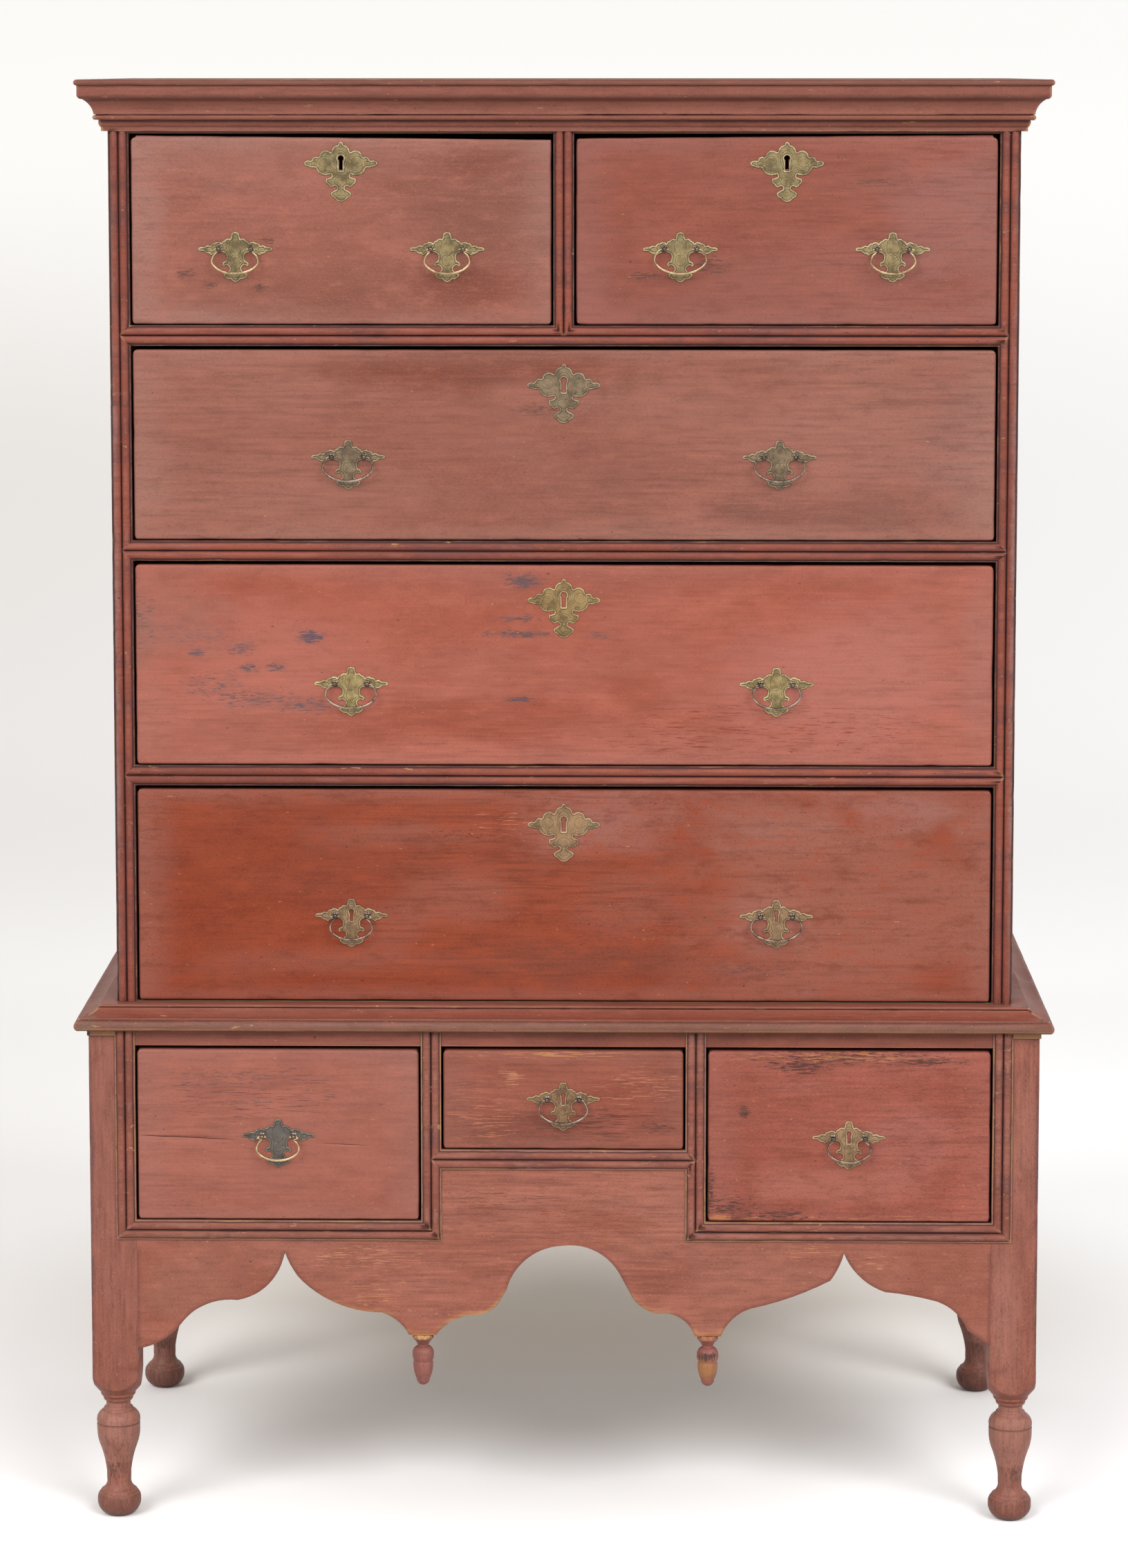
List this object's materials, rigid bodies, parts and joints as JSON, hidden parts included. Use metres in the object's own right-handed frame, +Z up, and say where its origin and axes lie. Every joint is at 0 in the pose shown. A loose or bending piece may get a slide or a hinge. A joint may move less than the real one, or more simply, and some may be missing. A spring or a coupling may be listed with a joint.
{
  "type": "highboy chest of drawers",
  "caption": "Painted flat-top highboy: a tall chest with graduated drawers on a base with a scalloped apron, drop pendants and short turned legs, bail handles.",
  "frame": {"origin": "centre of the footprint's bounding box at floor level", "axes": "+Z up, +X to the right across the front as seen by someone facing it, +Y from the front to the back"},
  "size_m": [1.042, 0.521, 1.5475],
  "materials": {
    "painted_wood": "old worn brick-red paint, satin to dull, with darker grime and bare edges",
    "bare_wood": "unpainted dry pine, hand planed",
    "brass": "aged cast brass, dull olive with bright rubbed edges",
    "iron": "dark wrought iron"
  },
  "bodies": {
    "chest": {"upper_sides": "painted_wood", "upper_top_board": "bare_wood", "upper_bottom_board": "bare_wood", "upper_back_boards": "bare_wood", "upper_drawer_rails": "painted_wood", "upper_drawer_runners": "bare_wood", "upper_bead_mouldings": "painted_wood", "cornice_moulding": "painted_wood", "waist_moulding": "painted_wood", "front_left_leg": "painted_wood", "front_right_leg": "painted_wood", "rear_left_leg": "painted_wood", "rear_right_leg": "painted_wood", "apron": "painted_wood", "apron_pendants": "painted_wood", "lower_side_boards": "painted_wood", "lower_back_board": "bare_wood", "lower_partitions": "bare_wood", "lower_top_rail": "painted_wood", "lower_drawer_runners": "bare_wood", "lower_bead_mouldings": "painted_wood"},
    "top_left_drawer": {"top_left_drawer_front": "painted_wood", "top_left_drawer_box": "bare_wood", "top_left_drawer_brasses": "brass", "top_left_drawer_lock": "iron"},
    "top_left_drawer_bail_left": {"top_left_drawer_bail_left": "brass"},
    "top_left_drawer_bail_right": {"top_left_drawer_bail_right": "brass"},
    "top_right_drawer": {"top_right_drawer_front": "painted_wood", "top_right_drawer_box": "bare_wood", "top_right_drawer_brasses": "brass", "top_right_drawer_lock": "iron"},
    "top_right_drawer_bail_left": {"top_right_drawer_bail_left": "brass"},
    "top_right_drawer_bail_right": {"top_right_drawer_bail_right": "brass"},
    "second_drawer": {"second_drawer_front": "painted_wood", "second_drawer_box": "bare_wood", "second_drawer_brasses": "brass"},
    "second_drawer_bail_left": {"second_drawer_bail_left": "brass"},
    "second_drawer_bail_right": {"second_drawer_bail_right": "brass"},
    "third_drawer": {"third_drawer_front": "painted_wood", "third_drawer_box": "bare_wood", "third_drawer_brasses": "brass"},
    "third_drawer_bail_left": {"third_drawer_bail_left": "brass"},
    "third_drawer_bail_right": {"third_drawer_bail_right": "brass"},
    "fourth_drawer": {"fourth_drawer_front": "painted_wood", "fourth_drawer_box": "bare_wood", "fourth_drawer_brasses": "brass"},
    "fourth_drawer_bail_left": {"fourth_drawer_bail_left": "brass"},
    "fourth_drawer_bail_right": {"fourth_drawer_bail_right": "brass"},
    "lower_left_drawer": {"lower_left_drawer_front": "painted_wood", "lower_left_drawer_box": "bare_wood", "lower_left_drawer_brasses": "brass"},
    "lower_left_drawer_bail": {"lower_left_drawer_bail": "brass"},
    "lower_right_drawer": {"lower_right_drawer_front": "painted_wood", "lower_right_drawer_box": "bare_wood", "lower_right_drawer_brasses": "brass"},
    "lower_right_drawer_bail": {"lower_right_drawer_bail": "brass"},
    "lower_centre_drawer": {"lower_centre_drawer_front": "painted_wood", "lower_centre_drawer_box": "bare_wood", "lower_centre_drawer_brasses": "brass"},
    "lower_centre_drawer_bail": {"lower_centre_drawer_bail": "brass"}
  },
  "joints": [
    {"name": "top_left_drawer_slide", "type": "slide", "parent": "chest", "child": "top_left_drawer", "axis": [0, -1, 0], "range_m": [0, 0.34]},
    {"name": "top_left_drawer_bail_left_hinge", "type": "hinge", "parent": "top_left_drawer", "child": "top_left_drawer_bail_left", "pos_m": [-0.34563, -0.227, 1.3703], "axis": [-1, 0, 0], "range_deg": [-10, 150]},
    {"name": "top_left_drawer_bail_right_hinge", "type": "hinge", "parent": "top_left_drawer", "child": "top_left_drawer_bail_right", "pos_m": [-0.12262, -0.227, 1.3703], "axis": [-1, 0, 0], "range_deg": [-10, 150]},
    {"name": "top_right_drawer_slide", "type": "slide", "parent": "chest", "child": "top_right_drawer", "axis": [0, -1, 0], "range_m": [0, 0.34]},
    {"name": "top_right_drawer_bail_left_hinge", "type": "hinge", "parent": "top_right_drawer", "child": "top_right_drawer_bail_left", "pos_m": [0.12262, -0.227, 1.3703], "axis": [-1, 0, 0], "range_deg": [-10, 150]},
    {"name": "top_right_drawer_bail_right_hinge", "type": "hinge", "parent": "top_right_drawer", "child": "top_right_drawer_bail_right", "pos_m": [0.34563, -0.227, 1.3703], "axis": [-1, 0, 0], "range_deg": [-10, 150]},
    {"name": "second_drawer_slide", "type": "slide", "parent": "chest", "child": "second_drawer", "axis": [0, -1, 0], "range_m": [0, 0.34]},
    {"name": "second_drawer_bail_left_hinge", "type": "hinge", "parent": "second_drawer", "child": "second_drawer_bail_left", "pos_m": [-0.228, -0.227, 1.151], "axis": [-1, 0, 0], "range_deg": [-10, 150]},
    {"name": "second_drawer_bail_right_hinge", "type": "hinge", "parent": "second_drawer", "child": "second_drawer_bail_right", "pos_m": [0.228, -0.227, 1.151], "axis": [-1, 0, 0], "range_deg": [-10, 150]},
    {"name": "third_drawer_slide", "type": "slide", "parent": "chest", "child": "third_drawer", "axis": [0, -1, 0], "range_m": [0, 0.34]},
    {"name": "third_drawer_bail_left_hinge", "type": "hinge", "parent": "third_drawer", "child": "third_drawer_bail_left", "pos_m": [-0.226, -0.227, 0.909], "axis": [-1, 0, 0], "range_deg": [-10, 150]},
    {"name": "third_drawer_bail_right_hinge", "type": "hinge", "parent": "third_drawer", "child": "third_drawer_bail_right", "pos_m": [0.226, -0.227, 0.909], "axis": [-1, 0, 0], "range_deg": [-10, 150]},
    {"name": "fourth_drawer_slide", "type": "slide", "parent": "chest", "child": "fourth_drawer", "axis": [0, -1, 0], "range_m": [0, 0.34]},
    {"name": "fourth_drawer_bail_left_hinge", "type": "hinge", "parent": "fourth_drawer", "child": "fourth_drawer_bail_left", "pos_m": [-0.227, -0.227, 0.659], "axis": [-1, 0, 0], "range_deg": [-10, 150]},
    {"name": "fourth_drawer_bail_right_hinge", "type": "hinge", "parent": "fourth_drawer", "child": "fourth_drawer_bail_right", "pos_m": [0.227, -0.227, 0.659], "axis": [-1, 0, 0], "range_deg": [-10, 150]},
    {"name": "lower_left_drawer_slide", "type": "slide", "parent": "chest", "child": "lower_left_drawer", "axis": [0, -1, 0], "range_m": [0, 0.32]},
    {"name": "lower_left_drawer_bail_hinge", "type": "hinge", "parent": "lower_left_drawer", "child": "lower_left_drawer_bail", "pos_m": [-0.30475, -0.256, 0.4255], "axis": [-1, 0, 0], "range_deg": [-10, 150]},
    {"name": "lower_right_drawer_slide", "type": "slide", "parent": "chest", "child": "lower_right_drawer", "axis": [0, -1, 0], "range_m": [0, 0.32]},
    {"name": "lower_right_drawer_bail_hinge", "type": "hinge", "parent": "lower_right_drawer", "child": "lower_right_drawer_bail", "pos_m": [0.30475, -0.256, 0.4255], "axis": [-1, 0, 0], "range_deg": [-10, 150]},
    {"name": "lower_centre_drawer_slide", "type": "slide", "parent": "chest", "child": "lower_centre_drawer", "axis": [0, -1, 0], "range_m": [0, 0.32]},
    {"name": "lower_centre_drawer_bail_hinge", "type": "hinge", "parent": "lower_centre_drawer", "child": "lower_centre_drawer_bail", "pos_m": [0, -0.256, 0.4665], "axis": [-1, 0, 0], "range_deg": [-10, 150]}
  ]
}
